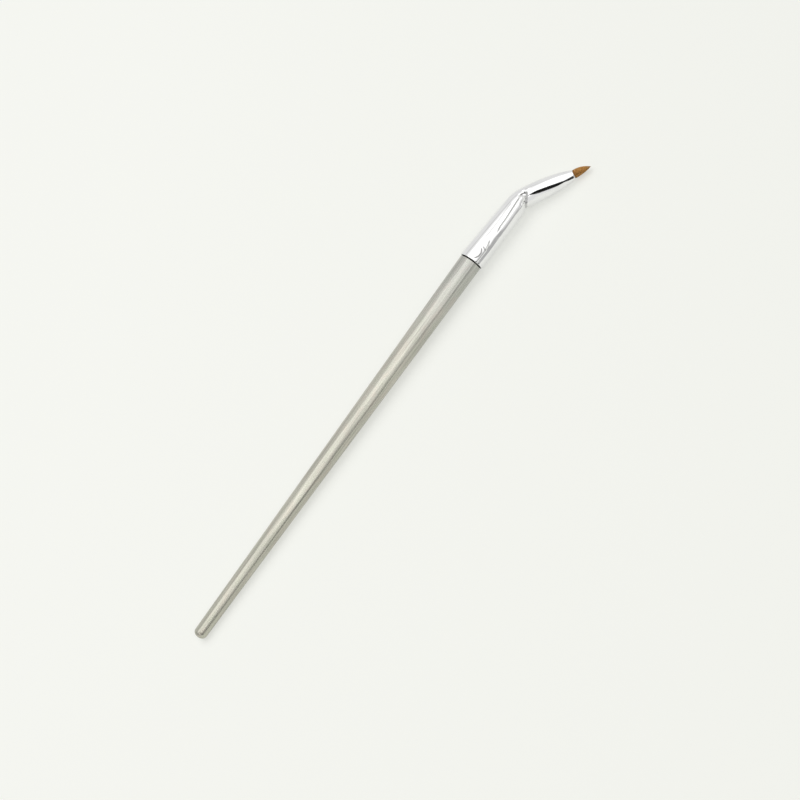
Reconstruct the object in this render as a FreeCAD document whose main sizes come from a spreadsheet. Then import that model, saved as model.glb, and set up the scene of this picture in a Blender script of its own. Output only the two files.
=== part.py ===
import FreeCAD, Part
import math
import os
import Sketcher

# Eyeliner brush: a turned handle, a bent one-piece metal ferrule, a pointed tuft of hair
# and the set adhesive that holds the hair roots.
#
# The brush frame, in which the pieces are made, has its origin at the centre of the tail
# end, +X along the handle towards the tuft, +Y towards the side that the neck bends to,
# and +Z square to the plane of the bend. The finished pieces are then turned together
# into the pose in which the brush lies on a flat surface, with +Z up.

os.makedirs("parts", exist_ok=True)
doc = FreeCAD.newDocument("eyeliner_brush")

# Driving dimensions, in millimetres and degrees
SIZES = [
    ("handle_length", 128.0, "tail end to shoulder"),
    ("tail_diameter", 3.7, "handle at the tail end, before rounding"),
    ("tail_round", 1.6, "radius of the rounded tail edge"),
    ("shoulder_diameter", 6.55, "handle where the ferrule begins"),
    ("joint_gap", 0.25, "groove left open between shoulder and ferrule"),
    ("tenon_length", 8.0, "handle inside the ferrule, from the shoulder"),
    ("tenon_bevel", 0.5, "bevel on the end of the tenon"),
    ("tenon_clearance", 0.12, "radial clearance of the tenon in the ferrule"),
    ("mouth_diameter", 7.3, "outside of the ferrule where it meets the handle"),
    ("mouth_bevel", 0.1, "bevel on the outer edge of the ferrule mouth"),
    ("ferrule_wall", 0.3, "sheet thickness of the ferrule"),
    ("lean_angle", 3.2, "lean of the lower ferrule away from the handle axis"),
    ("lower_length", 22.7, "ferrule mouth to the crossing of lower and neck axes"),
    ("elbow_diameter", 6.4, "lower ferrule where the elbow begins"),
    ("elbow_reach", 2.7, "crossing of the axes to either end of the elbow"),
    ("neck_angle", 33.0, "neck axis away from the handle axis"),
    ("neck_base_diameter", 5.85, "neck where the elbow ends"),
    ("neck_length", 16.1, "crossing of the axes to the rim"),
    ("neck_power", 2.6, "how late the neck's curved taper falls, 1 for a cone"),
    ("rim_diameter", 2.68, "outside of the ferrule at the tuft"),
    ("crease_depth", 0.3, "how far the inner side of the elbow is pushed in"),
    ("crease_run", 1.8, "length of the sunken slope before the crease"),
    ("crease_lip", 0.4, "length of the steep side of the crease"),
    ("pinch_bulge", 0.08, "how far the tube swells at the two ends of the crease"),
    ("hair_length", 5.2, "tuft beyond the rim"),
    ("hair_root_length", 8.0, "hair inside the neck"),
    ("hair_root_diameter", 2.6, "bundle of hair at its root end"),
    ("hair_clearance", 0.02, "hair to the bore of the neck, and adhesive to both"),
    ("belly_diameter", 2.4, "tuft at its widest"),
    ("hair_tip_diameter", 0.14, "blunt point of the tuft"),
    ("hair_bow", 0.15, "how far the middle of the tuft bows away from the bend"),
    ("adhesive_setback", 0.5, "rim to the front of the adhesive"),
    ("adhesive_backing", 2.0, "adhesive behind the hair roots"),
]

sheet = doc.addObject("Spreadsheet::Sheet", "dims")
for row, (alias, value, note) in enumerate(SIZES, start=1):
    sheet.set(f"A{row}", note)
    sheet.set(f"B{row}", str(value))
    sheet.setAlias(f"B{row}", alias)
doc.recompute()

# Expressions that several pieces share
LEAN = "(dims.lean_angle * 1 deg)"
NECK = "(dims.neck_angle * 1 deg)"
ELBOW_TURN = f"({NECK} - {LEAN})"
ARC_RADIUS = f"(dims.elbow_reach / tan({ELBOW_TURN} / 2))"
ARC_LENGTH = f"({ARC_RADIUS} * (dims.neck_angle - dims.lean_angle) * pi / 180)"
MOUTH_X = "(dims.handle_length + dims.joint_gap)"
MOUTH_RADIUS = "dims.mouth_diameter / 2"
CROSSING_X = f"({MOUTH_X} + dims.lower_length * cos({LEAN}))"
CROSSING_Y = f"(dims.lower_length * sin({LEAN}))"
STRAIGHT = "(dims.lower_length - dims.elbow_reach)"
LOWER_SLOPE = f"((dims.mouth_diameter - dims.elbow_diameter) / 2 / {STRAIGHT})"
NECK_RUN = "(dims.neck_length - dims.elbow_reach)"
TENON_ROOT = f"({MOUTH_RADIUS} - dims.ferrule_wall - dims.tenon_clearance)"
TENON_END = f"({TENON_ROOT} - dims.tenon_length * ({LOWER_SLOPE} + tan({LEAN})))"
RIM_HAIR = "(dims.rim_diameter / 2 - dims.ferrule_wall - dims.hair_clearance)"


def size(expression):
    """Value of an expression over the sheet, as a plain number."""
    value = sheet.evalExpression(expression)
    return float(getattr(value, "Value", value))


def bind(item, **expressions):
    """Tie properties of one object to expressions over the sheet."""
    for name, expression in expressions.items():
        item.setExpression(name, expression)


def sketch_on(body, name, role):
    """An empty sketch flat on one of the body's own origin planes."""
    sketch = body.newObject("Sketcher::SketchObject", name)
    plane = next(item for item in body.Origin.OriginFeatures if item.Role == role)
    sketch.AttachmentSupport = [(plane, "")]
    sketch.MapMode = "FlatFace"
    return sketch


def constrain(sketch, name, constraint, expression):
    """Add a named constraint and tie its value to an expression."""
    number = sketch.addConstraint(constraint)
    sketch.renameConstraint(number, name)
    sketch.setExpression(f"Constraints.{name}", expression)


def closed_outline(sketch, corners):
    """Straight-sided closed outline whose corners (name, x, y) are tied to expressions."""
    places = [FreeCAD.Vector(size(x), size(y), 0) for _, x, y in corners]
    for index, place in enumerate(places):
        sketch.addGeometry(Part.LineSegment(place, places[(index + 1) % len(places)]), False)
    for index in range(len(corners)):
        following = (index + 1) % len(corners)
        sketch.addConstraint(Sketcher.Constraint("Coincident", index, 2, following, 1))
    for index, (name, x, y) in enumerate(corners):
        across = Sketcher.Constraint("DistanceX", -1, 1, index, 1, places[index].x)
        constrain(sketch, f"{name}_x", across, x)
        up = Sketcher.Constraint("DistanceY", -1, 1, index, 1, places[index].y)
        constrain(sketch, f"{name}_y", up, y)


# Handle, turned from one rod together with its tenon
def make_handle():
    body = doc.addObject("PartDesign::Body", "handle")
    sketch = sketch_on(body, "handle_outline", "XY_Plane")
    end = "(dims.handle_length + dims.tenon_length)"
    closed_outline(sketch, [
        ("tail_centre", "0", "0"),
        ("tail_edge", "0", "dims.tail_diameter / 2"),
        ("shoulder", "dims.handle_length", "dims.shoulder_diameter / 2"),
        ("tenon_root", "dims.handle_length", TENON_ROOT),
        ("tenon_bevel", f"{end} - dims.tenon_bevel", TENON_END),
        ("tenon_edge", end, f"{TENON_END} - dims.tenon_bevel"),
        ("tenon_centre", end, "0"),
    ])
    rod = body.newObject("PartDesign::Revolution", "turned_rod")
    rod.Profile = sketch
    rod.ReferenceAxis = (sketch, ["H_Axis"])
    rod.Angle = 360
    doc.recompute()
    tail_edge = next(
        f"Edge{number}"
        for number, edge in enumerate(rod.Shape.Edges, start=1)
        if edge.BoundBox.XMax < 1e-6
    )
    tail = body.newObject("PartDesign::Fillet", "rounded_tail")
    tail.Base = (rod, [tail_edge])
    bind(tail, Radius="min(dims.tail_round; dims.tail_diameter * 0.45)")
    return body


# Ferrule, one drawn tube that tapers to the rim and is bent until its inner side buckles
NECK_SHARES = (0.3, 0.55, 0.75, 0.9, 1.0)


def ring(name, x, y, turn, across, within, shift="0"):
    """Elliptical section of the tube, square to its centreline. It has a half width across
    the plane of the bend and one within it, and may shift towards the inner side."""
    section = doc.addObject("Part::Ellipse", name)
    bind(
        section,
        MajorRadius=across,
        MinorRadius=within,
        Placement=(
            f"placement(vector({x} - ({shift}) * sin({turn}); {y} + ({shift}) * cos({turn}); 0);"
            f" rotation(vector(0; 0; 1); {turn}) * rotation(vector(1; 0; 1); 180 deg))"
        ),
    )
    return section


def elbow_ring(name, share, wall, dent="0", bulge="0"):
    """Section at a share of the elbow's turn. The outer side follows the arc. The inner
    side lies where the straight runs on either hand reach it, sunk further by the dent."""
    turn = f"({LEAN} + {share} * {ELBOW_TURN})"
    x = f"{MOUTH_X} + {STRAIGHT} * cos({LEAN}) + {ARC_RADIUS} * (sin({turn}) - sin({LEAN}))"
    y = f"{STRAIGHT} * sin({LEAN}) + {ARC_RADIUS} * (cos({LEAN}) - cos({turn}))"
    taper = "(dims.neck_base_diameter - dims.elbow_diameter)"
    radius = f"(dims.elbow_diameter + {share} * {taper}) / 2"
    nearer = f"min({share}; 1 - {share})"
    sink = f"({ARC_RADIUS} * (1 - cos({nearer} * {ELBOW_TURN})) + {dent})"
    return ring(
        name, x, y, turn,
        f"{radius} + {bulge} - {wall}",
        f"{radius} - {sink} / 2 - {wall}",
        f"-{sink} / 2",
    )


def neck_radius(share):
    """Outside of the neck at a share of its run, 0 at the elbow and 1 at the rim."""
    narrowing = "(dims.neck_base_diameter - dims.rim_diameter) / 2"
    return f"(dims.neck_base_diameter / 2 - {narrowing} * {share} ^ dims.neck_power)"


def neck_ring(name, share, wall):
    """Round section of the neck at a share of its run."""
    along = f"(dims.elbow_reach + {share} * {NECK_RUN})"
    x = f"({CROSSING_X} + {along} * cos({NECK}))"
    y = f"({CROSSING_Y} + {along} * sin({NECK}))"
    radius = f"{neck_radius(share)} - {wall}"
    return ring(name, x, y, NECK, radius, radius)


def loft(name, rings, ruled):
    """Solid through the given sections, straight-sided between them if ruled."""
    span = doc.addObject("Part::Loft", name)
    span.Sections = rings
    span.Solid = True
    span.Ruled = ruled
    return span


def tube_solid(name, wall, bevel):
    """Solid within the ferrule's outer skin or, given its wall, within its bore."""
    crease = "0.5"
    slope_top = f"(0.5 - dims.crease_run / {ARC_LENGTH})"
    lip_top = f"(0.5 + dims.crease_lip / {ARC_LENGTH})"
    radius = f"{MOUTH_RADIUS} - {wall}"
    edge = ring(f"{name}_mouth_edge", MOUTH_X, "0", "(0 deg)",
                f"{radius} - {bevel}", f"{radius} - {bevel}")
    mouth = ring(f"{name}_mouth", f"({MOUTH_X} + dims.mouth_bevel)", "0", "(0 deg)",
                 radius, radius)
    start = elbow_ring(f"{name}_elbow_start", "0", wall)
    approach = elbow_ring(f"{name}_approach", f"({slope_top} / 2)", wall)
    slope = elbow_ring(f"{name}_slope_top", slope_top, wall)
    fold = elbow_ring(f"{name}_crease", crease, wall, "dims.crease_depth", "dims.pinch_bulge")
    lip = elbow_ring(f"{name}_lip_top", lip_top, wall)
    outlet = elbow_ring(f"{name}_outlet", f"(({lip_top} + 1) / 2)", wall)
    finish = elbow_ring(f"{name}_elbow_end", "1", wall)
    neck = [
        neck_ring(f"{name}_neck_{number}", f"{share}", wall)
        for number, share in enumerate(NECK_SHARES, start=1)
    ]
    whole = doc.addObject("Part::MultiFuse", name)
    whole.Shapes = [
        loft(f"{name}_lower", [edge, mouth, start], True),
        loft(f"{name}_bend", [start, approach, slope], False),
        loft(f"{name}_fold", [slope, fold, lip], True),
        loft(f"{name}_exit", [lip, outlet, finish], False),
        loft(f"{name}_neck", [finish, *neck], False),
    ]
    return whole


def make_ferrule():
    tube = doc.addObject("Part::Cut", "ferrule")
    tube.Base = tube_solid("outside", "0", "dims.mouth_bevel")
    tube.Tool = tube_solid("bore", "dims.ferrule_wall", "0")
    return tube


# Hair tuft, one bundle from its roots in the neck to its point.
# Its own frame has the origin at the centre of the rim and +X along the neck.
BELLY_START = 0.2
TAPER_POWER = 2.3
TUFT_SHARES = (BELLY_START, 0.4, 0.6, 0.8, 0.93)


def tuft_radius(share):
    """Half width of the free hair at a share of its length from the rim."""
    return f"dims.belly_diameter / 2 * (1 - {share} ^ {TAPER_POWER})"


def tuft_bow(share):
    """Sideways place of the free hair's centre, towards the inner side of the bend."""
    return f"-dims.hair_bow * {4 * share * (1 - share):.3f}"


def hair_disc(body, name, along, radius, sideways="0"):
    """Round section of the bundle, square to the neck."""
    sketch = sketch_on(body, name, "YZ_Plane")
    sketch.addGeometry(Part.Circle(FreeCAD.Vector(0, 0, 0), FreeCAD.Vector(0, 0, 1), size(radius)), False)
    sketch.addConstraint(Sketcher.Constraint("Coincident", 0, 3, -1, 1))
    constrain(sketch, "half_width", Sketcher.Constraint("Radius", 0, size(radius)), radius)
    sketch.setExpression("AttachmentOffset.Base.z", along)
    sketch.setExpression("AttachmentOffset.Base.x", sideways)
    return sketch


def make_tuft():
    body = doc.addObject("PartDesign::Body", "bristle_tuft")
    root = hair_disc(body, "root_end", "-dims.hair_root_length", "dims.hair_root_diameter / 2")
    rim = hair_disc(body, "rim_disc", "0", RIM_HAIR)
    stations = [
        hair_disc(body, f"hair_{number}", f"dims.hair_length * {share}",
                  tuft_radius(share), tuft_bow(share))
        for number, share in enumerate(TUFT_SHARES, start=1)
    ]
    stations.append(hair_disc(body, "hair_tip", "dims.hair_length", "dims.hair_tip_diameter / 2"))
    for name, first, others, ruled in (
        ("hair_roots", root, [rim], True),
        ("free_hair", rim, stations, False),
    ):
        bundle = body.newObject("PartDesign::AdditiveLoft", name)
        bundle.Profile = first
        bundle.Sections = others
        bundle.Ruled = ruled
    return body


# Adhesive, set around and behind the hair roots, where it fills the bore of the neck
FILLING_STEPS = (0, 0.25, 0.5, 0.75, 1)


def make_plug():
    front = f"(1 - dims.adhesive_setback / {NECK_RUN})"
    back = f"(1 - (dims.hair_root_length + dims.adhesive_backing) / {NECK_RUN})"
    skin = "(dims.ferrule_wall + dims.hair_clearance)"
    filling = loft("filling", [
        neck_ring(f"filling_{number}", f"({back} + {step} * ({front} - {back}))", skin)
        for number, step in enumerate(FILLING_STEPS, start=1)
    ], False)
    socket = doc.addObject("Part::Cone", "root_socket")
    bind(
        socket,
        Radius1="dims.hair_root_diameter / 2 + dims.hair_clearance",
        Radius2=f"{RIM_HAIR} + dims.hair_clearance",
        Height="dims.hair_root_length",
        Placement=(
            f"placement(vector({CROSSING_X} + (dims.neck_length - dims.hair_root_length) * cos({NECK});"
            f" {CROSSING_Y} + (dims.neck_length - dims.hair_root_length) * sin({NECK}); 0);"
            f" rotation(vector(0; 0; 1); {NECK}) * rotation(vector(0; 1; 0); 90 deg))"
        ),
    )
    plug = doc.addObject("Part::Cut", "adhesive_plug")
    plug.Base = filling
    plug.Tool = socket
    return plug


# Pose at rest: the brush lies on its tail, on the edge of the ferrule's mouth and on the
# side of its neck, because the bent neck is heavier on one side and rolls down.
NECK_STEPS = 40


def neck_place(along, sideways=0.0):
    """Point of the brush frame at a distance along the neck axis from the crossing."""
    turn = math.radians(size("dims.neck_angle"))
    return FreeCAD.Vector(
        size(CROSSING_X) + along * math.cos(turn) - sideways * math.sin(turn),
        size(CROSSING_Y) + along * math.sin(turn) + sideways * math.cos(turn),
        0,
    )


def lying_rotation(pitch, roll):
    """Turn from the brush frame to the surface: neck down by roll, tip up by pitch."""
    along_y = FreeCAD.Vector(0, 1, 0)
    along_x = FreeCAD.Vector(1, 0, 0)
    return FreeCAD.Rotation(along_y, -pitch) * FreeCAD.Rotation(along_x, 180 + roll)


def lowest(rotation, centre, direction, radius):
    """Height of the lowest point of a circle, from the centre of the tail end."""
    slope = rotation.multVec(direction).z
    return rotation.multVec(centre).z - radius * math.sqrt(1 - slope * slope)


def rest_rotation():
    tail_radius = size("dims.tail_diameter / 2")
    handle_slope = size("(dims.shoulder_diameter - dims.tail_diameter) / 2 / dims.handle_length")
    tail_x = size("dims.tail_round")
    tail_touch = tail_radius + handle_slope * tail_x
    mouth_x = size(f"{MOUTH_X} + dims.mouth_bevel")
    pitch = math.degrees(math.atan((size(MOUTH_RADIUS) - tail_touch) / (mouth_x - tail_x)))
    handle_axis = FreeCAD.Vector(1, 0, 0)
    turn = math.radians(size("dims.neck_angle"))
    neck_axis = FreeCAD.Vector(math.cos(turn), math.sin(turn), 0)
    neck_length = size("dims.neck_length")
    hair_length = size("dims.hair_length")
    circles = []
    for step in range(NECK_STEPS + 1):
        share = step / NECK_STEPS
        place = neck_place(size(f"dims.elbow_reach + {share} * {NECK_RUN}"))
        circles.append((place, size(neck_radius(share))))
    for share in TUFT_SHARES:
        place = neck_place(neck_length + share * hair_length, size(tuft_bow(share)))
        circles.append((place, size(tuft_radius(share))))
    circles.append((neck_place(neck_length + hair_length), size("dims.hair_tip_diameter / 2")))
    low_roll, high_roll = 0.0, 90.0
    for _ in range(40):
        roll = (low_roll + high_roll) / 2
        rotation = lying_rotation(pitch, roll)
        floor = lowest(rotation, FreeCAD.Vector(tail_x, 0, 0), handle_axis, tail_touch)
        neck_low = min(lowest(rotation, place, neck_axis, radius) for place, radius in circles)
        if neck_low > floor:
            low_roll = roll
        else:
            high_roll = roll
    print(f"pitch {pitch:.3f} degrees, roll {roll:.3f} degrees")
    return rotation


def lay_down(pieces):
    """Place every piece at rest, with the middle of the whole box's base at the origin."""
    along_z = FreeCAD.Vector(0, 0, 1)
    turn = FreeCAD.Rotation(along_z, size("dims.neck_angle"))
    own_frames = {
        "bristle_tuft": FreeCAD.Placement(neck_place(size("dims.neck_length")), turn),
    }
    rotation = rest_rotation()
    lying = FreeCAD.Placement(FreeCAD.Vector(0, 0, 0), rotation)
    for piece in pieces:
        piece.Placement = lying * own_frames.get(piece.Label, FreeCAD.Placement())
    doc.recompute()
    box = FreeCAD.BoundBox()
    for piece in pieces:
        box.add(piece.Shape.optimalBoundingBox(False, False))
    shift = FreeCAD.Vector(-box.Center.x, -box.Center.y, -box.ZMin)
    for piece in pieces:
        piece.Placement = FreeCAD.Placement(shift, FreeCAD.Rotation()) * piece.Placement
    doc.recompute()
    return box


pieces = [make_handle(), make_ferrule(), make_tuft(), make_plug()]
doc.recompute()
box = lay_down(pieces)

for item in doc.Objects:
    if "Invalid" in item.State or "Error" in item.State:
        raise RuntimeError(f"{item.Label} failed: {item.State}")
for piece in pieces:
    if piece.Shape.isNull() or not piece.Shape.isValid():
        raise RuntimeError(f"{piece.Label} has no valid shape")
    piece.Shape.exportStep(f"parts/{piece.Label}.step")
    print(f"{piece.Label}: {len(piece.Shape.Solids)} solid, {piece.Shape.Volume:.2f} mm3")
print(f"overall {box.XLength:.2f} x {box.YLength:.2f} x {box.ZLength:.2f} mm")
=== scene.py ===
"""Eyeliner brush with a lacquered handle, a bent chrome ferrule and a pointed tuft of hair.

The pieces are made in the brush's own frame: origin at the centre of the tail end, +X along
the handle, +Y towards the side that the neck bends to, +Z square to the bend. They are then
laid down in the pose that the frame holds. Lengths are in millimetres until a mesh is made.
"""

import math
import random

import bpy
from mathutils import Matrix, Vector, noise


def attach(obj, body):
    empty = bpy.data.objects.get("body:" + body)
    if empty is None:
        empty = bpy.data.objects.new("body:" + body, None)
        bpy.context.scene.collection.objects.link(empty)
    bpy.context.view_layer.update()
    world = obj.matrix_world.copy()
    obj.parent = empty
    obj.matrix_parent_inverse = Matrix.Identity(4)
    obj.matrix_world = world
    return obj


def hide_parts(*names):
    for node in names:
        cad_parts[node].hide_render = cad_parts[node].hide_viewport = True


MM = 0.001

# Sizes shared with the solids
HANDLE_LENGTH = 128.0
TAIL_RADIUS = 1.85
TAIL_ROUND = 1.6
SHOULDER_RADIUS = 3.275
JOINT_GAP = 0.25
TENON_LENGTH = 8.0
TENON_CLEARANCE = 0.12
MOUTH_RADIUS = 3.65
WALL = 0.3
LEAN = math.radians(3.2)
NECK_TURN = math.radians(33.0)
ELBOW_RADIUS = 3.2
ELBOW_REACH = 2.7
NECK_BASE_RADIUS = 2.925
NECK_POWER = 2.6
RIM_RADIUS = 1.34
LOWER_LENGTH = 22.7
NECK_LENGTH = 16.1
LOWER_RUN = LOWER_LENGTH - ELBOW_REACH
NECK_RUN = NECK_LENGTH - ELBOW_REACH
ARC_RADIUS = ELBOW_REACH / math.tan((NECK_TURN - LEAN) / 2)
ARC_RUN = ARC_RADIUS * (NECK_TURN - LEAN)
FERRULE_RUN = LOWER_RUN + ARC_RUN + NECK_RUN
HAIR_LENGTH = 5.2
HAIR_ROOT_LENGTH = 8.0
HAIR_ROOT_RADIUS = 1.3
HAIR_RIM_RADIUS = 1.02
BELLY_RADIUS = 1.2
BELLY_POWER = 2.3
HAIR_BOW = 0.15

# Pose in which the brush lies
PITCH = math.radians(0.806)
ROLL = math.radians(12.927)
TAIL_CENTRE = Vector((-84.418, 4.476, 1.845))

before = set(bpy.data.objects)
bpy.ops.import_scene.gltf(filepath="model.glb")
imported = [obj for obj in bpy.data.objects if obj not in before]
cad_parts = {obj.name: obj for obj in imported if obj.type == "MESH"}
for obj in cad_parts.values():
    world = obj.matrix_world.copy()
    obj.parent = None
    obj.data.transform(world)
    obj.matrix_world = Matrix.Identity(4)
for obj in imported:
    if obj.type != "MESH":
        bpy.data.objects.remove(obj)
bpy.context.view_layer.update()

lying = (
    Matrix.Translation(TAIL_CENTRE * MM)
    @ Matrix.Rotation(-PITCH, 4, "Y")
    @ Matrix.Rotation(math.pi + ROLL, 4, "X")
)


def smooth_step(low, high, value):
    """0 at low, 1 at high and a smooth rise between them. It falls instead if high < low."""
    share = min(1.0, max(0.0, (value - low) / (high - low)))
    return share * share * (3 - 2 * share)


def store_on_points(piece, name, kind, values):
    """Keep a value at each point for the material. Vectors come as one flat list."""
    attribute = piece.data.attributes.new(name, kind, "POINT")
    attribute.data.foreach_set("vector" if kind == "FLOAT_VECTOR" else "value", values)


def mesh_piece(name, points, faces, material, place):
    """A smooth-shaded mesh object in the scene, from points in millimetres that are moved to
    their place. The material finds the points as they were in the attribute own_place."""
    mesh = bpy.data.meshes.new(name)
    mesh.from_pydata([place @ (point * MM) for point in points], [], faces)
    mesh.polygons.foreach_set("use_smooth", [True] * len(mesh.polygons))
    mesh.materials.append(material)
    piece = bpy.data.objects.new(name, mesh)
    bpy.context.collection.objects.link(piece)
    coordinates = [value for point in points for value in point]
    store_on_points(piece, "own_place", "FLOAT_VECTOR", coordinates)
    return piece


def band_faces(start, rings, count, loop=False):
    """Quads between neighbouring rings of count points each, the first at index start."""
    faces = []
    for ring in range(rings if loop else rings - 1):
        near = start + ring * count
        far = start + (ring + 1) % rings * count
        for spot in range(count):
            beside = (spot + 1) % count
            faces.append((near + spot, near + beside, far + beside, far + spot))
    return faces


def closed_band(start, rings, count):
    """Quads between neighbouring rings, and a face over the first and over the last ring."""
    end = start + rings * count
    faces = band_faces(start, rings, count)
    faces.append(tuple(range(start + count - 1, start - 1, -1)))
    faces.append(tuple(range(end - count, end)))
    return faces


def turned_piece(name, profile, count, material, place):
    """A closed solid of revolution about X, from (x, radius) pairs that start and end off
    the axis."""
    points = []
    for x, radius in profile:
        for spot in range(count):
            angle = math.tau * spot / count
            points.append(Vector((x, radius * math.cos(angle), radius * math.sin(angle))))
    return mesh_piece(name, points, closed_band(0, len(profile), count), material, place)


# Shader helpers
def new_material(name):
    """An empty node material with its output and Principled shader."""
    material = bpy.data.materials.new(name)
    material.use_nodes = True
    tree = material.node_tree
    shader = next(item for item in tree.nodes if item.type == "BSDF_PRINCIPLED")
    return material, tree, shader


def set_inputs(tree, made, values):
    """Set or link the inputs of a node, by name or number."""
    for key, value in values.items():
        if isinstance(value, bpy.types.NodeSocket):
            tree.links.new(value, made.inputs[key])
        else:
            made.inputs[key].default_value = value


def node(tree, kind, values=None, **settings):
    """A shader node with its settings, and its inputs set or linked."""
    made = tree.nodes.new(kind)
    for key, value in settings.items():
        setattr(made, key, value)
    set_inputs(tree, made, values or {})
    return made


def maths(tree, operation, first, second=0.0, third=0.0):
    """Output of one Math node."""
    made = node(tree, "ShaderNodeMath", {0: first, 1: second, 2: third}, operation=operation)
    return made.outputs[0]


def part_along(tree, vector, axis):
    """Part of a vector that points along a fixed axis."""
    values = {0: vector, 1: tuple(axis)}
    return node(tree, "ShaderNodeVectorMath", values, operation="DOT_PRODUCT").outputs["Value"]


def map_range(tree, value, low, high, start=0.0, end=1.0, **settings):
    """A value taken from the range low to high onto the range start to end, and kept in it."""
    values = {"Value": value, "From Min": low, "From Max": high, "To Min": start, "To Max": end}
    return node(tree, "ShaderNodeMapRange", values, **settings).outputs["Result"]


def own_place(tree):
    """The shaded point's place in its piece's own frame, in millimetres."""
    return node(tree, "ShaderNodeAttribute", attribute_name="own_place").outputs["Vector"]


def own_length(tree):
    """The shaded point's way along its piece, in millimetres."""
    return node(tree, "ShaderNodeSeparateXYZ", {0: own_place(tree)}).outputs["X"]


def stretched_noise(tree, per_mm, detail=3.0, roughness=0.55, offset=(0.0, 0.0, 0.0)):
    """Noise over a piece, with its own frequency per millimetre on each axis."""
    mapping = node(
        tree, "ShaderNodeMapping",
        {"Vector": own_place(tree), "Scale": per_mm, "Location": offset},
    )
    values = {"Vector": mapping.outputs[0], "Scale": 1.0, "Detail": detail, "Roughness": roughness}
    return node(tree, "ShaderNodeTexNoise", values).outputs["Fac"]


def even_noise(tree, per_mm):
    """Noise of one frequency per millimetre, for meshes that stay in the shared frame."""
    place = node(tree, "ShaderNodeTexCoord").outputs["Object"]
    values = {"Vector": place, "Scale": per_mm / MM, "Detail": 3.0}
    return node(tree, "ShaderNodeTexNoise", values).outputs["Fac"]


def ramp(tree, value, stops):
    """Colour ramp through (position, colour) stops."""
    made = node(tree, "ShaderNodeValToRGB", {"Fac": value})
    elements = made.color_ramp.elements
    elements[0].position, elements[0].color = stops[0][0], (*stops[0][1], 1.0)
    elements[1].position, elements[1].color = stops[-1][0], (*stops[-1][1], 1.0)
    for position, colour in stops[1:-1]:
        elements.new(position).color = (*colour, 1.0)
    return made.outputs["Color"]


def spread(tree, value, low, high):
    """A noise value, most of which lie between 0.3 and 0.7, spread from low to high."""
    return map_range(tree, value, 0.3, 0.7, low, high)


def bump(tree, height, strength, depth):
    """Normal of a skin that a noise raises by up to a depth in millimetres."""
    values = {"Height": height, "Strength": strength, "Distance": depth * MM}
    return node(tree, "ShaderNodeBump", values).outputs["Normal"]


def seen_and_mirrored(tree):
    """1 for what the camera sees straight on, and 1 for what shiny metal mirrors."""
    light_path = node(tree, "ShaderNodeLightPath")
    return light_path.outputs["Is Camera Ray"], light_path.outputs["Is Glossy Ray"]


def mixed(tree, kind, share, first, second):
    """Colour mix of one kind. These are the numbers of a Mix node's colour sockets."""
    values = {0: share, 6: first, 7: second}
    return node(tree, "ShaderNodeMix", values, data_type="RGBA", blend_type=kind).outputs[2]


# Materials
def handle_material():
    """Pearl grey metallic lacquer with lengthwise streaks and faint warm and cool patches, that
    ends in a near-black band of painted shade in the groove at the joint."""
    material, tree, shader = new_material("pearl_lacquer")
    along = own_length(tree)
    ground = ramp(tree, map_range(tree, along, 0.0, HANDLE_LENGTH), [
        (0.0, (0.505, 0.495, 0.430)),
        (0.75, (0.505, 0.495, 0.440)),
        (1.0, (0.485, 0.485, 0.458)),
    ])
    patches = stretched_noise(tree, (0.25, 0.8, 0.8), detail=2.0)
    tint = ramp(tree, patches, [
        (0.36, (0.985, 1.0, 0.975)),
        (0.5, (1.0, 1.0, 1.0)),
        (0.64, (1.025, 0.99, 0.985)),
    ])
    streaks = stretched_noise(tree, (0.05, 2.0, 2.0), roughness=0.6)
    streak_tone = ramp(tree, streaks, [(0.34, (0.76, 0.76, 0.755)), (0.66, (1.18, 1.18, 1.17))])
    tinted = mixed(tree, "MULTIPLY", 1.0, ground, tint)
    streaked = mixed(tree, "MULTIPLY", 0.8, tinted, streak_tone)
    # painted shade: near-black over the last of the shoulder and in the groove at the joint
    joint_shade = map_range(tree, along, HANDLE_LENGTH - 0.12, HANDLE_LENGTH - 0.04)
    grain = stretched_noise(tree, (0.08, 4.0, 4.0), offset=(4.0, 2.0, 1.0))
    set_inputs(tree, shader, {
        "Base Color": mixed(tree, "MIX", joint_shade, streaked, (0.03, 0.027, 0.022, 1.0)),
        "Metallic": 0.8,
        "Roughness": spread(tree, grain, 0.2, 0.3),
        "Coat Weight": 0.2,
        "Coat Roughness": 0.1,
        "Normal": bump(tree, streaks, 0.3, 0.04),
    })
    return material


def chrome_material():
    """Bright chrome with fine handling marks, and painted shade in the crease and beside the
    folds.
    """
    material, tree, shader = new_material("bright_chrome")
    haze = stretched_noise(tree, (0.25, 0.5, 0.5))
    tone = ramp(tree, haze, [(0.35, (0.84, 0.84, 0.85)), (0.65, (0.89, 0.89, 0.895))])
    # painted shade: darkens the chrome in the crease, in its end pockets and along lines beside
    # the folds
    painted_shade = node(tree, "ShaderNodeAttribute", attribute_name="painted_shade").outputs["Fac"]
    painted_darkening = ramp(tree, painted_shade, [(0.0, (1.0, 1.0, 1.0)), (1.0, (0.26, 0.255, 0.25))])
    marks = stretched_noise(tree, (0.35, 6.0, 6.0), offset=(1.0, 5.0, 3.0))
    set_inputs(tree, shader, {
        "Base Color": mixed(tree, "MULTIPLY", 1.0, tone, painted_darkening),
        "Metallic": 1.0,
        "Roughness": spread(tree, haze, 0.045, 0.085),
        "Normal": bump(tree, marks, 0.2, 0.01),
    })
    return material


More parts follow.
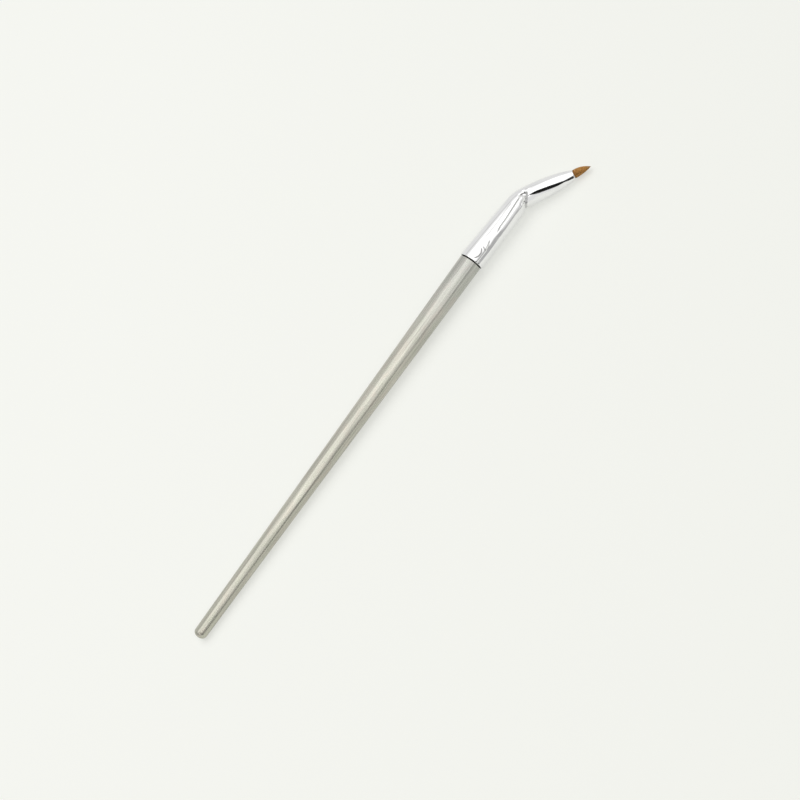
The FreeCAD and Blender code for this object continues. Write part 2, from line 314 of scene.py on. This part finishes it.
def hair_material():
    """Amber hair, tone by strand, darker at the root and paler at the point."""
    material, tree, shader = new_material("amber_hair")
    strand = node(tree, "ShaderNodeAttribute", attribute_name="strand_tone").outputs["Fac"]
    tone = ramp(tree, strand, [
        (0.0, (0.27, 0.120, 0.026)),
        (0.5, (0.49, 0.240, 0.058)),
        (1.0, (0.70, 0.38, 0.115)),
    ])
    wash = ramp(tree, map_range(tree, own_length(tree), 0.0, HAIR_LENGTH), [
        (0.0, (0.68, 0.64, 0.66)),
        (0.16, (1.0, 1.0, 1.02)),
        (0.7, (1.02, 1.03, 1.05)),
        (1.0, (0.88, 1.0, 1.55)),
    ])
    colour = mixed(tree, "MULTIPLY", 1.0, tone, wash)
    fleck = stretched_noise(tree, (0.8, 9.0, 9.0), detail=2.0)
    fleck_tone = ramp(tree, fleck, [(0.3, (0.6, 0.55, 0.5)), (0.6, (1.0, 1.0, 1.0))])
    set_inputs(tree, shader, {
        "Base Color": mixed(tree, "MULTIPLY", 0.5, colour, fleck_tone),
        "Roughness": 0.42,
        "Specular IOR Level": 0.4,
    })
    return material


def adhesive_material():
    """Set amber resin, slightly cloudy."""
    material, tree, shader = new_material("set_adhesive")
    cloud = even_noise(tree, 0.6)
    pits = even_noise(tree, 3.0)
    set_inputs(tree, shader, {
        "Base Color": ramp(tree, cloud, [(0.3, (0.52, 0.38, 0.17)), (0.7, (0.62, 0.50, 0.26))]),
        "Roughness": spread(tree, cloud, 0.25, 0.45),
        "Normal": bump(tree, pits, 0.3, 0.03),
    })
    return material


def floor_material():
    """Matt off-white sheet with a painted fall-off of light, a little darker towards one side.
    Part of what the camera and shiny metal see of it is its own pale colour, so that its shadows
    stay light, and far from the brush it is all of it, so that the sheet runs out evenly into the
    backdrop."""
    material, tree, shader = new_material("pale_sheet")
    place = node(tree, "ShaderNodeTexCoord").outputs["Object"]
    # painted fall-off of light: the sheet's tone darkens towards this side
    painted_falloff_side = (0.59, -0.8, 0.0)
    pale_end, darker_end = -0.11, 0.16
    share = map_range(tree, part_along(tree, place, painted_falloff_side), pale_end, darker_end)
    tone = ramp(tree, share, [(0.0, (0.912, 0.920, 0.880)), (1.0, (0.876, 0.885, 0.842))])
    set_inputs(tree, shader, {
        "Base Color": tone,
        "Roughness": 0.9,
        "Specular IOR Level": 0.0,
    })
    own_pale = node(tree, "ShaderNodeEmission", {"Color": tone, "Strength": 1.0})
    seen, mirrored = seen_and_mirrored(tree)
    either = maths(tree, "MAXIMUM", seen, mirrored)
    away = node(tree, "ShaderNodeVectorMath", {0: place}, operation="LENGTH").outputs["Value"]
    near, far = 0.3, 1.2
    pale_share = maths(tree, "MULTIPLY", either, map_range(tree, away, near, far, 0.58, 1.0))
    values = {0: pale_share, 1: shader.outputs[0], 2: own_pale.outputs[0]}
    both = node(tree, "ShaderNodeMixShader", values)
    output = next(item for item in tree.nodes if item.type == "OUTPUT_MATERIAL")
    tree.links.new(both.outputs[0], output.inputs["Surface"])
    return material


# Handle, with a blunt domed tail, an eased shoulder and a tenon in the ferrule
HANDLE_SIDES = 128


def handle_profile():
    """(x, radius) pairs along the handle, from its tail to the end of its tenon."""
    slope = (SHOULDER_RADIUS - TAIL_RADIUS) / HANDLE_LENGTH
    dome = 0.06
    dome_edge = TAIL_RADIUS + slope * TAIL_ROUND - TAIL_ROUND
    first_radius = 0.02
    dome_steps = 4
    profile = [
        (dome * (step / dome_steps) ** 2, max(first_radius, dome_edge * step / dome_steps))
        for step in range(dome_steps)
    ]
    round_steps = 14
    for step in range(round_steps + 1):
        angle = math.radians(90 * step / round_steps)
        profile.append((
            dome + (TAIL_ROUND - dome) * (1 - math.cos(angle)),
            dome_edge + TAIL_ROUND * math.sin(angle),
        ))
    shoulder_ease = 0.14
    straight_end = HANDLE_LENGTH - shoulder_ease
    straight_steps = 90
    for step in range(1, straight_steps + 1):
        x = TAIL_ROUND + (straight_end - TAIL_ROUND) * step / straight_steps
        profile.append((x, TAIL_RADIUS + slope * x))
    ease_steps = 5
    for step in range(1, ease_steps + 1):
        angle = math.radians(90 * step / ease_steps)
        profile.append((
            straight_end + shoulder_ease * math.sin(angle),
            SHOULDER_RADIUS - shoulder_ease * (1 - math.cos(angle)),
        ))
    undercut = 0.45
    groove_radius = SHOULDER_RADIUS - undercut
    groove_in_mouth = 0.4
    groove_end = HANDLE_LENGTH + JOINT_GAP + groove_in_mouth
    groove_slope = 0.1
    tenon_taper = 0.06
    tenon_radius = MOUTH_RADIUS - WALL - TENON_CLEARANCE
    tenon_end = 2.6
    chamfer = 0.5
    profile += [
        (HANDLE_LENGTH, groove_radius),
        (groove_end, groove_radius),
        (groove_end + groove_slope, tenon_radius - tenon_taper),
        (HANDLE_LENGTH + TENON_LENGTH - chamfer, tenon_end),
        (HANDLE_LENGTH + TENON_LENGTH, tenon_end - chamfer),
    ]
    return profile


# Ferrule, one thin tube through the elbow, with the folds that the bend left in it. Its mouth
# is eased over a short run and cut square to the handle, so that the rings turn square to the
# tube over a longer one, and its lower cone swells faintly.
MOUTH_EASE = 0.03
MOUTH_EASE_RUN = 0.7
SQUARE_RUN = 3.0
CONE_SWELL = 0.06


def centreline(run):
    """Place and turn of the ferrule's centreline at a run from its mouth."""
    start = HANDLE_LENGTH + JOINT_GAP
    if run <= LOWER_RUN:
        return Vector((start + run * math.cos(LEAN), run * math.sin(LEAN), 0)), LEAN
    bent = min(run - LOWER_RUN, ARC_RUN)
    turn = LEAN + bent / ARC_RADIUS
    place = Vector((
        start + LOWER_RUN * math.cos(LEAN) + ARC_RADIUS * (math.sin(turn) - math.sin(LEAN)),
        LOWER_RUN * math.sin(LEAN) + ARC_RADIUS * (math.cos(LEAN) - math.cos(turn)),
        0,
    ))
    rest = run - LOWER_RUN - bent
    place += Vector((math.cos(turn), math.sin(turn), 0)) * rest
    return place, turn


def tube_radius(run):
    """Outside of the undented tube: a faintly swollen cone with an eased mouth, then the
    elbow, then the neck that closes in on the hair."""
    if run <= LOWER_RUN:
        share = run / LOWER_RUN
        swell = CONE_SWELL * math.sin(math.pi * share)
        eased = MOUTH_EASE * smooth_step(MOUTH_EASE_RUN, 0.0, run)
        return MOUTH_RADIUS + (ELBOW_RADIUS - MOUTH_RADIUS) * share + swell - eased
    if run <= LOWER_RUN + ARC_RUN:
        share = smooth_step(0.0, 1.0, (run - LOWER_RUN) / ARC_RUN)
        return ELBOW_RADIUS + (NECK_BASE_RADIUS - ELBOW_RADIUS) * share
    share = (run - LOWER_RUN - ARC_RUN) / NECK_RUN
    return NECK_BASE_RADIUS - (NECK_BASE_RADIUS - RIM_RADIUS) * share ** NECK_POWER


ELBOW_MIDDLE = LOWER_RUN + ARC_RUN / 2

# Crease across the inner side of the elbow. Its bottom starts a little before the elbow's
# middle and sweeps towards the neck on the flanks.
CREASE_LEAD = 0.84
CREASE_SWEEP = 2.6
CREASE_DEPTH = 0.3
CREASE_FLANK_DEPTH = 0.04
CREASE_SLOPE_RUN = 1.0
CREASE_INNER_SLOPE_RUN = 1.3
CREASE_LEVEL_RUN = 1.3
CREASE_LIP_RUN = 0.8
CREASE_WALL_END = math.radians(96)
CREASE_WALL_WIDTH = math.radians(12)

# Wide hollow round each end of the crease: its depth, and how far it reaches on each side
HOLLOW_DEPTH = 0.27
HOLLOW_RUN_BEFORE = 1.5
HOLLOW_RUN_BEYOND = 4.4

# Small knuckle past each end of the crease: its place, height and size
KNUCKLE_RUN = ELBOW_MIDDLE + 2.5
KNUCKLE_SIDE = math.radians(95)
KNUCKLE_HEIGHT = 0.09
KNUCKLE_LENGTH = 0.5
KNUCKLE_WIDTH = 0.45

# Faint ripple of the drawn metal, which fades over the neck
RIPPLE_HEIGHT = 0.016
RIPPLE_FADE = (30, 22)

# Way that the steep sides of the folds face, measured from the inner side of the bend, their
# least slope and the run before which they lie, and the most slope of a flat strip
FOLD_FACING = math.radians(-38)
FOLD_LEAST_SLOPE = 0.15
FOLDS_END = ELBOW_MIDDLE + 4
STRIP_MOST_SLOPE = 0.4

# Lines that the bend left in the skin of the lower tube, each with a high side on the left of
# its direction and a low side on the right: (run from the mouth, degrees from the inner side)
# at each point, then the most that the side between them slopes, its width, how far the low
# side reaches, and the shares of the line over which it starts and ends
FOLDS = [
    (
        [(23.2, -86), (21.9, -75), (18.3, -67), (15.0, -60), (12.6, -58), (9.1, -54)],
        0.85, 0.58, 0.9, 0.05, 0.2,
    ),
    ([(8.6, -66), (6.9, -54), (6.1, -48), (4.6, -42)], 0.60, 0.48, 0.8, 0.5, 0.1),
]

# Flat strips, each on both sides of the tube: (run, degrees from the inner side, half width) at
# points of the middle line, the way that the strip faces, and how far it takes towards lower
# and towards higher degrees to ease back to the round tube
STRIPS = [
    (
        [
            (0.0, -29, 0.41), (2.5, -30, 0.41), (5.4, -30, 0.41), (8.6, -34, 0.48),
            (12.9, -38, 0.55), (15.0, -40, 0.55), (17.5, -44, 0.55), (20.6, -51, 0.55),
            (22.2, -60, 0.5), (23.6, -72, 0.0),
        ],
        FOLD_FACING, 1.1, 2.2,
    ),
    (
        [
            (34.6, -46, 0.0), (35.6, -43, 0.2), (36.6, -39, 0.3), (38.1, -33, 0.3),
            (39.0, -30, 0.3),
        ],
        math.radians(-43), 0.6, 0.7,
    ),
]


def turn_step(low, high, angle):
    """smooth_step of an angle between two limits in degrees."""
    return smooth_step(math.radians(low), math.radians(high), angle)


def crease_run(angle):
    """Run at which the sharp bottom of the crease lies, on each side of the tube."""
    return ELBOW_MIDDLE - CREASE_LEAD + CREASE_SWEEP * abs(math.sin(angle)) ** 1.5


def crease_dent(run, angle):
    """Depth of the crease across the inner side of the elbow: a slope on the handle's side,
    and on the neck's side a short steep lip and a gentle rise. A steep wall ends it on either
    flank."""
    side = abs(angle)
    wide_reach = turn_step(115, 88, side)
    if wide_reach == 0:
        return 0.0
    reach = min(1.0, max(0.0, (CREASE_WALL_END - side) / CREASE_WALL_WIDTH))
    flank = turn_step(20, 50, side)
    beyond = run - crease_run(angle)
    if beyond < 0:
        level = CREASE_LEVEL_RUN * turn_step(70, 82, side)
        inner = max(0.0, math.cos(angle)) ** 2
        slope_run = CREASE_SLOPE_RUN + CREASE_INNER_SLOPE_RUN * inner
        fall = reach * max(0.0, 1 + min(0.0, beyond + level) / slope_run) ** 1.35
        rise = wide_reach * smooth_step(-HOLLOW_RUN_BEFORE, 0.0, beyond)
    else:
        fall = reach * max(0.0, 1 - beyond / CREASE_LIP_RUN)
        rise = wide_reach * max(0.0, 1 - beyond / HOLLOW_RUN_BEYOND) ** 2
    return (CREASE_DEPTH + CREASE_FLANK_DEPTH * flank) * fall + HOLLOW_DEPTH * flank * rise


def straight_sink(run):
    """How far the inner side lies below the arc, because each straight run reaches on."""
    share = (run - LOWER_RUN) / ARC_RUN
    if not 0 < share < 1:
        return 0.0
    return ARC_RADIUS * (1 - math.cos(min(share, 1 - share) * (NECK_TURN - LEAN)))


def beside_line(run, angle, radius, points):
    """Distance on the skin from a point to a line of (run, degrees) points, above 0 on its
    right, and the share of the way along it."""
    arc = angle * radius
    best, where = math.inf, 0.0
    spans = len(points) - 1
    for index in range(spans):
        (run_a, degrees_a), (run_b, degrees_b) = points[index], points[index + 1]
        arc_a, arc_b = math.radians(degrees_a) * radius, math.radians(degrees_b) * radius
        along, round_tube = run_b - run_a, arc_b - arc_a
        length = along ** 2 + round_tube ** 2
        share = ((run - run_a) * along + (arc - arc_a) * round_tube) / length
        share = min(1.0, max(0.0, share))
        off_run = run - run_a - share * along
        off_arc = arc - arc_a - share * round_tube
        across = math.hypot(off_run, off_arc)
        if across < abs(best):
            to_right = off_run * round_tube - off_arc * along
            best, where = math.copysign(across, to_right), (index + share) / spans
    return best, where


def strip_rise(run, angle, radius, points, facing, low_tail, high_tail):
    """Rise of the skin at one flat strip and where it eases back to the round tube."""
    if not points[0][0] <= run < points[-1][0]:
        return 0.0
    index = next(index for index in range(len(points) - 1) if run < points[index + 1][0])
    (run_a, degrees_a, half_a), (run_b, degrees_b, half_b) = points[index], points[index + 1]
    share = (run - run_a) / (run_b - run_a)
    middle = math.radians(degrees_a + (degrees_b - degrees_a) * share)
    half = half_a + (half_b - half_a) * share
    across = (angle - middle) * radius
    slope = min(STRIP_MOST_SLOPE, math.tan(facing - middle))
    if abs(across) < half:
        return -across * slope - (half ** 2 - across ** 2) / (2 * radius)
    tail = low_tail if across < 0 else high_tail
    return -math.copysign(half, across) * slope * math.exp((half - abs(across)) / tail)


def fold_drop(run, angle, radius, points, steepest, width, tail, start, end):
    """How far the skin drops at one fold, down its steep side and back on the low side."""
    across, where = beside_line(run, angle, radius, points)
    if not -width < across < 4 * tail:
        return 0.0
    ends = smooth_step(0.0, start, where) * smooth_step(1.0, 1.0 - end, where)
    facing = FOLD_FACING - angle + across / radius
    slope = min(steepest, max(FOLD_LEAST_SLOPE, math.tan(facing)))
    low = min(1.0, max(0.0, across / width + 0.5))
    back = math.exp(-max(0.0, across - width / 2) / tail)
    return slope * width * ends * low * back


def relief(run, angle, radius):
    """Rise of the skin above the plain tube, with its crease, strips, folds, knuckles and a
    faint ripple."""
    height = -crease_dent(run, angle)
    for strip in STRIPS:
        height += strip_rise(run, angle, radius, *strip) + strip_rise(run, -angle, radius, *strip)
    if run < FOLDS_END:
        for fold in FOLDS:
            height -= fold_drop(run, angle, radius, *fold)
    off_run = (run - KNUCKLE_RUN) / KNUCKLE_LENGTH
    off_side = (abs(angle) - KNUCKLE_SIDE) * radius / KNUCKLE_WIDTH
    height += KNUCKLE_HEIGHT * math.exp(-(off_run ** 2 + off_side ** 2))
    ripple = noise.noise(Vector((run * 0.22, angle * 1.3, 3.7)))
    return height + RIPPLE_HEIGHT * ripple * smooth_step(*RIPPLE_FADE, run)


# Painted shade in a pocket at each end of the crease
POCKET_SHADE = [(23.1, -86), (23.6, -89), (24.1, -88), (24.6, -84)]

# Lines of painted shade along the folds: their points, and how dark they are
FOLD_SHADE_LINES = [
    ([(20.0, -89), (18.5, -88), (16.0, -86), (13.0, -82), (9.0, -80), (6.0, -84)], 0.55),
    ([(4.4, -70), (3.9, -58), (3.1, -51), (2.0, -51), (1.2, -56), (0.6, -66)], 0.95),
    ([(4.3, -43), (4.7, -54), (4.9, -64)], 0.8),
]

# Distances at which a painted line and the pocket's painted shade fade out and are full, and how
# dark the painted shade in the crease is
FOLD_SHADE_FADE = (0.3, 0.06)
POCKET_SHADE_FADE = (0.34, 0.12)
CREASE_SHADE = 0.5

# Painted lines lie before the first of these runs, and no painted shade lies past the last or
# further round the tube than the side
FOLD_SHADE_RUNS = 20
PAINTED_SHADE_RUNS = 26
PAINTED_SHADE_SIDE = math.radians(-110)


def fold_line_painted_shade(run, side):
    """Share of painted shade on the lines beside the folds, which thin out at their ends."""
    share = 0.0
    for points, shade_darkness in FOLD_SHADE_LINES:
        across, where = beside_line(run, side, ELBOW_RADIUS, points)
        ends = smooth_step(0.0, 0.15, where) * smooth_step(1.0, 0.85, where)
        share = max(share, shade_darkness * ends * smooth_step(*FOLD_SHADE_FADE, abs(across)))
    return share


def crease_painted_shade(run, angle):
    """Share of painted shade on the lines beside the folds, in the crease and in its pockets."""
    side = -abs(angle)
    if run > PAINTED_SHADE_RUNS or side < PAINTED_SHADE_SIDE:
        return 0.0
    if run < FOLD_SHADE_RUNS:
        return fold_line_painted_shade(run, side)
    beyond = run - crease_run(angle)
    in_crease = smooth_step(-0.4, 0.0, beyond) * smooth_step(1.0, 0.5, beyond)
    in_crease *= turn_step(-92, -80, side)
    across, where = beside_line(run, side, ELBOW_RADIUS, POCKET_SHADE)
    return max(CREASE_SHADE * in_crease, smooth_step(*POCKET_SHADE_FADE, abs(across)))


def skin_point(run, angle, depth):
    """Point of the ferrule at a depth below its outer skin."""
    place, turn = centreline(run)
    ring_turn = turn * smooth_step(0.0, SQUARE_RUN, run)
    inward = Vector((-math.sin(ring_turn), math.cos(ring_turn), 0))
    radius = tube_radius(run)
    radial = radius + relief(run, angle, radius) - depth
    sink = straight_sink(run) * (1 + math.cos(angle)) / 2
    return (
        place
        + inward * (radial * math.cos(angle) - sink)
        + Vector((0, 0, 1)) * (radial * math.sin(angle))
    )


def spaced(start, end, step):
    """Evenly spaced values from start up to but without end."""
    count = max(1, round(abs(end - start) / step))
    return [start + (end - start) * index / count for index in range(count)]


def ferrule_rings():
    """(run, depth) of each ring: round the mouth's edge, out along the skin, most closely at
    the elbow, round the rim's edge and back inside."""
    edge = WALL / 2
    edge_step = math.pi / 8
    finish = FERRULE_RUN - edge
    lower_step, elbow_step, neck_step, inner_step = 0.18, 0.065, 0.2, 1.0
    beside_elbow = 1.5
    elbow_start = LOWER_RUN - beside_elbow
    elbow_end = LOWER_RUN + ARC_RUN + beside_elbow
    rings = []
    for angle in spaced(-math.pi / 2, math.pi / 2, edge_step):
        rings.append((edge - edge * math.cos(angle), edge - edge * math.sin(angle)))
    rings += [(run, 0.0) for run in spaced(edge, elbow_start, lower_step)]
    rings += [(run, 0.0) for run in spaced(elbow_start, elbow_end, elbow_step)]
    rings += [(run, 0.0) for run in spaced(elbow_end, finish, neck_step)]
    for angle in spaced(math.pi / 2, -math.pi / 2, edge_step):
        rings.append((finish + edge * math.cos(angle), edge - edge * math.sin(angle)))
    rings += [(run, WALL) for run in spaced(finish, edge, inner_step)]
    return rings


def make_ferrule(material):
    """The ferrule's tube, with its points closest on the side that the photo shows."""
    spots = spaced(-100, 10, 0.8) + spaced(10, 100, 1.5) + spaced(100, 260, 2.4)
    angles = [math.radians(spot if spot <= 180 else spot - 360) for spot in spots]
    rings = ferrule_rings()
    points = [skin_point(run, angle, depth) for run, depth in rings for angle in angles]
    faces = band_faces(0, len(rings), len(angles), loop=True)
    tube = mesh_piece("ferrule_tube", points, faces, material, lying)
    # painted shade in the crease, its pockets and beside the folds, kept on each point
    shares = [crease_painted_shade(run, angle) for run, depth in rings for angle in angles]
    store_on_points(tube, "painted_shade", "FLOAT", shares)
    return tube


# Tuft: a core and separate hairs laid over it, in a frame whose origin is the rim's centre. The
# hairs are thin prisms that start inside the rim, at a share of the free length below 0, and
# the core leaves room for them from a little way inside the rim.
HAIRS = 1100
HAIR_SIDES = 3
HAIR_STEPS = 9
HAIR_START = -0.06
HAIR_TIP = 0.006
IN_RIM = 0.3


def tuft_radius(share):
    """Half width of the tuft at a share of its free length."""
    swell = smooth_step(-0.02, 0.08, share)
    full = HAIR_RIM_RADIUS + (BELLY_RADIUS - HAIR_RIM_RADIUS) * swell
    return full * (1 - max(0.0, share) ** BELLY_POWER)


def tuft_bow(share):
    """Sideways place of the tuft's centre, away from the bend."""
    return -HAIR_BOW * 4 * share * (1 - share) if share > 0 else 0.0


def core_rings():
    """(x, centre y, radius) of the core under the outer hairs, from root end to point."""
    cover = 0.07
    root_chamfer = 0.05
    neck_fill = 1.0
    least_radius = 0.05
    point_share, point_radius = 0.975, 0.03
    rings = [
        (-HAIR_ROOT_LENGTH, 0.0, HAIR_ROOT_RADIUS - root_chamfer),
        (-HAIR_ROOT_LENGTH, 0.0, HAIR_ROOT_RADIUS),
        (-neck_fill, 0.0, HAIR_RIM_RADIUS + 0.02),
        (-IN_RIM, 0.0, HAIR_RIM_RADIUS - cover),
    ]
    steps = 24
    for step in range(steps):
        share = step / steps
        radius = max(least_radius, tuft_radius(share) - cover)
        rings.append((HAIR_LENGTH * share, tuft_bow(share), radius))
    rings.append((HAIR_LENGTH * point_share, 0.0, point_radius))
    return rings


def tuft_core():
    """Points and faces of the core, faintly rippled where it shows."""
    count = 48
    rings = core_rings()
    points = []
    for x, y, radius in rings:
        for spot in range(count):
            angle = math.tau * spot / count
            ripple = 0.02 * noise.noise(Vector((angle * 4, x * 0.3, 1.0))) if x > -IN_RIM else 0.0
            across = radius * (1 + ripple)
            points.append(Vector((x, y + across * math.cos(angle), across * math.sin(angle))))
    return points, closed_band(0, len(rings), count)


def hair(generator):
    """Points of one hair, in rings from inside the rim to its tip, and its tone. Most hairs lie
    close to the outside of the tuft and reach nearly to its point."""
    direction = generator.uniform(0, math.tau)
    outer = 1 - 0.16 * generator.random() ** 1.6
    reach = 1 - 0.16 * generator.random() ** 2.2
    thickness = generator.uniform(0.026, 0.042)
    tone = min(1.0, max(0.0, generator.gauss(0.5, 0.23)))
    drift = generator.gauss(0, 0.05)
    points = []
    for step in range(HAIR_STEPS):
        part = step / (HAIR_STEPS - 1)
        share = HAIR_START + (reach - HAIR_START) * part
        out = tuft_radius(max(0.0, share)) * outer + 0.004
        angle = direction + drift * part
        centre = Vector((
            HAIR_LENGTH * share,
            tuft_bow(share) + out * math.cos(angle),
            out * math.sin(angle),
        ))
        width = thickness * (1 - 0.75 * max(0.0, share) ** 2.5) if part < 1 else HAIR_TIP
        for side in range(HAIR_SIDES):
            around = math.tau * side / HAIR_SIDES + angle
            points.append(centre + Vector((0, math.cos(around), math.sin(around))) * width)
    return points, tone


def make_tuft(material):
    """The core and its outer hairs as one piece, with a tone for each hair."""
    generator = random.Random(7)
    points, faces = tuft_core()
    core_tone = 0.25
    tones = [core_tone] * len(points)
    for _ in range(HAIRS):
        start = len(points)
        hair_points, tone = hair(generator)
        points += hair_points
        tones += [tone] * len(hair_points)
        faces += closed_band(start, HAIR_STEPS, HAIR_SIDES)

    rim_centre, turn = centreline(FERRULE_RUN)
    place = lying @ Matrix.Translation(rim_centre * MM) @ Matrix.Rotation(turn, 4, "Z")
    tuft = mesh_piece("hair_tuft", points, faces, material, place)
    store_on_points(tuft, "strand_tone", "FLOAT", tones)
    return tuft


lacquer = handle_material()
handle = turned_piece("handle_stick", handle_profile(), HANDLE_SIDES, lacquer, lying)
ferrule = make_ferrule(chrome_material())
tuft = make_tuft(hair_material())
for piece, part, slot in (
    (handle, "handle", "handle_lacquer"),
    (ferrule, "ferrule", "ferrule_chrome"),
    (tuft, "bristle_tuft", "hair"),
):
    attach(piece, "root")
    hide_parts(part)

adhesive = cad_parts["adhesive_plug"]
adhesive.data.materials.clear()
adhesive.data.materials.append(adhesive_material())


# Floor and studio
def make_floor():
    """Flat sheet that the brush lies on, in metres."""
    half = 2.5
    corners = [(-half, -half, 0), (half, -half, 0), (half, half, 0), (-half, half, 0)]
    mesh = bpy.data.meshes.new("floor")
    mesh.from_pydata(corners, [], [(0, 1, 2, 3)])
    mesh.materials.append(floor_material())
    floor = bpy.data.objects.new("floor", mesh)
    bpy.context.collection.objects.link(floor)


def towards(azimuth, elevation):
    """Unit vector to a direction, azimuth 0 being +Y and 90 being +X, in degrees."""
    turn, rise = math.radians(azimuth), math.radians(elevation)
    return Vector((
        math.sin(turn) * math.cos(rise),
        math.cos(turn) * math.cos(rise),
        math.sin(rise),
    ))


# Lamps: direction in degrees, diameter in metres, power in watts and colour
LAMP_DISTANCE = 1.2
LAMPS = [
    ("overhead_lamp", 0, 70, 1.5, 11.3, (1.0, 1.0, 0.99)),
    ("front_lamp", 180, 52, 0.8, 4.5, (1.0, 0.995, 0.98)),
]


def make_lamp(name, azimuth, elevation, diameter, power, colour):
    """Round soft lamp that faces the object."""
    data = bpy.data.lights.new(name, "AREA")
    data.shape = "DISK"
    data.size = diameter
    data.energy = power
    data.color = colour
    lamp = bpy.data.objects.new(name, data)
    direction = towards(azimuth, elevation)
    lamp.location = direction * LAMP_DISTANCE
    lamp.rotation_euler = direction.to_track_quat("Z", "Y").to_euler()
    lamp.visible_glossy = False
    bpy.context.collection.objects.link(lamp)


# Zones of the studio that shiny metal mirrors: direction, half width, half height and tilt in
# degrees, brightness and how softly the zone ends
WALL_LEVEL = 0.84
ZONES = [
    ("overhead_box", 135, 68, 38, 34, 0, 1.08, 0.3),
    ("side_box", 172, 52, 25, 32, 0, 1.3, 0.16),
    ("lamp_core", 174, 75, 34, 29, 0, 1.62, 0.14),
    ("far_seam", 22, 50, 16, 4, 0, 0.66, 0.6),
    ("near_gap", 170, 4, 26, 7, 0, 0.47, 0.5),
    ("end_wall", 285, 10, 32, 22, 0, 0.48, 0.3),
    ("dark_room", 200.5, 31, 9.5, 38, 15.5, 0.012, 0.12),
    ("dark_door", 186, 6.5, 6, 8, 0, 0.03, 0.15),
]

# Level at which the world lights matt skins, and the level that the camera sees
AMBIENT_LEVEL = 0.25
BACKDROP_LEVEL = 0.9


def zone_mask(tree, direction, azimuth, elevation, half_width, half_height, tilt, softness):
    """1 inside a zone of the studio and 0 outside it. The zone is a box with round corners."""
    middle = towards(azimuth, elevation)
    level_side = towards(azimuth + 90, 0)
    lean = Matrix.Rotation(math.radians(tilt), 3, middle)
    axes = (
        (lean @ level_side, half_width),
        (lean @ level_side.cross(middle), half_height),
    )
    squareness = 3.0
    terms = []
    for axis, half in axes:
        off = part_along(tree, direction, axis)
        share = maths(tree, "DIVIDE", off, math.sin(math.radians(half)))
        terms.append(maths(tree, "POWER", maths(tree, "ABSOLUTE", share), squareness))
    distance = maths(tree, "POWER", maths(tree, "ADD", *terms), 1 / squareness)
    behind = maths(tree, "LESS_THAN", part_along(tree, direction, middle), 0.0)
    far_out = 10.0
    reach = maths(tree, "MULTIPLY_ADD", behind, far_out, distance)
    low, high = 1 - softness, 1 + softness
    return map_range(tree, reach, low, high, 1.0, 0.0, interpolation_type="SMOOTHSTEP")


def make_world():
    """Plain studio, in which only shiny metal mirrors the zones."""
    world = bpy.data.worlds.new("studio")
    bpy.context.scene.world = world
    world.use_nodes = True
    tree = world.node_tree
    tree.nodes.clear()
    direction = node(tree, "ShaderNodeTexCoord").outputs["Generated"]

    def blend(share, first, second):
        """Mix node between two numbers."""
        values = {0: share, 2: first, 3: second}
        return node(tree, "ShaderNodeMix", values, data_type="FLOAT")

    studio = WALL_LEVEL
    for name, azimuth, elevation, half_width, half_height, tilt, level, softness in ZONES:
        mask = zone_mask(
            tree, direction, azimuth, elevation, half_width, half_height, tilt, softness,
        )
        zone = blend(mask, studio, level)
        zone.label = name
        studio = zone.outputs[0]

    seen, mirrored = seen_and_mirrored(tree)
    unseen = blend(mirrored, AMBIENT_LEVEL, studio)
    strength = blend(seen, unseen.outputs[0], BACKDROP_LEVEL)
    values = {"Color": (1.0, 1.0, 0.985, 1.0), "Strength": strength.outputs[0]}
    background = node(tree, "ShaderNodeBackground", values)
    node(tree, "ShaderNodeOutputWorld", {"Surface": background.outputs[0]})


make_floor()
make_world()
for lamp in LAMPS:
    make_lamp(*lamp)


# Camera at the photograph's angle: where it looks and how high it stands, in degrees and metres
VIEW_AZIMUTH = 10.019
VIEW_ELEVATION = 49.633
VIEW_ROLL = 45.843
VIEW_DISTANCE = 0.54816
VIEW_TARGET = Vector((0.000139, -0.004168, 0.003))


def make_camera():
    """The photograph's camera."""
    data = bpy.data.cameras.new("camera")
    data.lens = 90.0
    data.sensor_width = 36.0
    data.clip_start = 0.01
    camera = bpy.data.objects.new("camera", data)
    forward = towards(VIEW_AZIMUTH, -VIEW_ELEVATION)
    camera.location = VIEW_TARGET - forward * VIEW_DISTANCE
    upright = forward.to_track_quat("-Z", "Y").to_matrix()
    roll = Matrix.Rotation(-math.radians(VIEW_ROLL), 3, "Z")
    camera.rotation_euler = (upright @ roll).to_euler()
    bpy.context.collection.objects.link(camera)
    bpy.context.scene.camera = camera


make_camera()
bpy.context.scene.view_settings.view_transform = "Standard"
